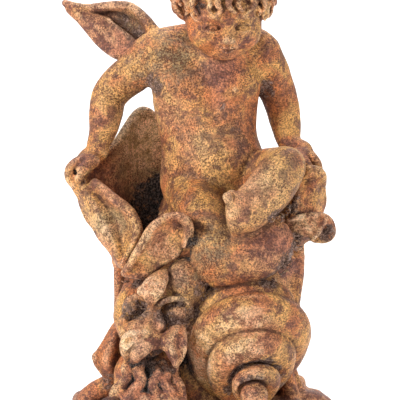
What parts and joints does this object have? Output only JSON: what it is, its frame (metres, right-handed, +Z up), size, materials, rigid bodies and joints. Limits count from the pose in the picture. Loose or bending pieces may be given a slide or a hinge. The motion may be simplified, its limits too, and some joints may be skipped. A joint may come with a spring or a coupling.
{
  "type": "garden statue",
  "caption": "Rusted cast iron garden statue of a winged child seated in a wavy shell over a sea creature's head and a snail shell, on a low rocky base.",
  "frame": {"origin": "middle of the flat underside of the base, on the surface the statue stands on", "axes": "+Z up through the head, +X to the cherub's left hand, -Y towards the viewer it faces"},
  "size_m": [0.3668, 0.3462, 0.621],
  "materials": {
    "rusted_iron": "weathered, orange-brown rust with yellow and red patches, dark specks and dirt in the hollows"
  },
  "bodies": {
    "root": {"cherub_statue": "rusted_iron"}
  },
  "joints": []
}
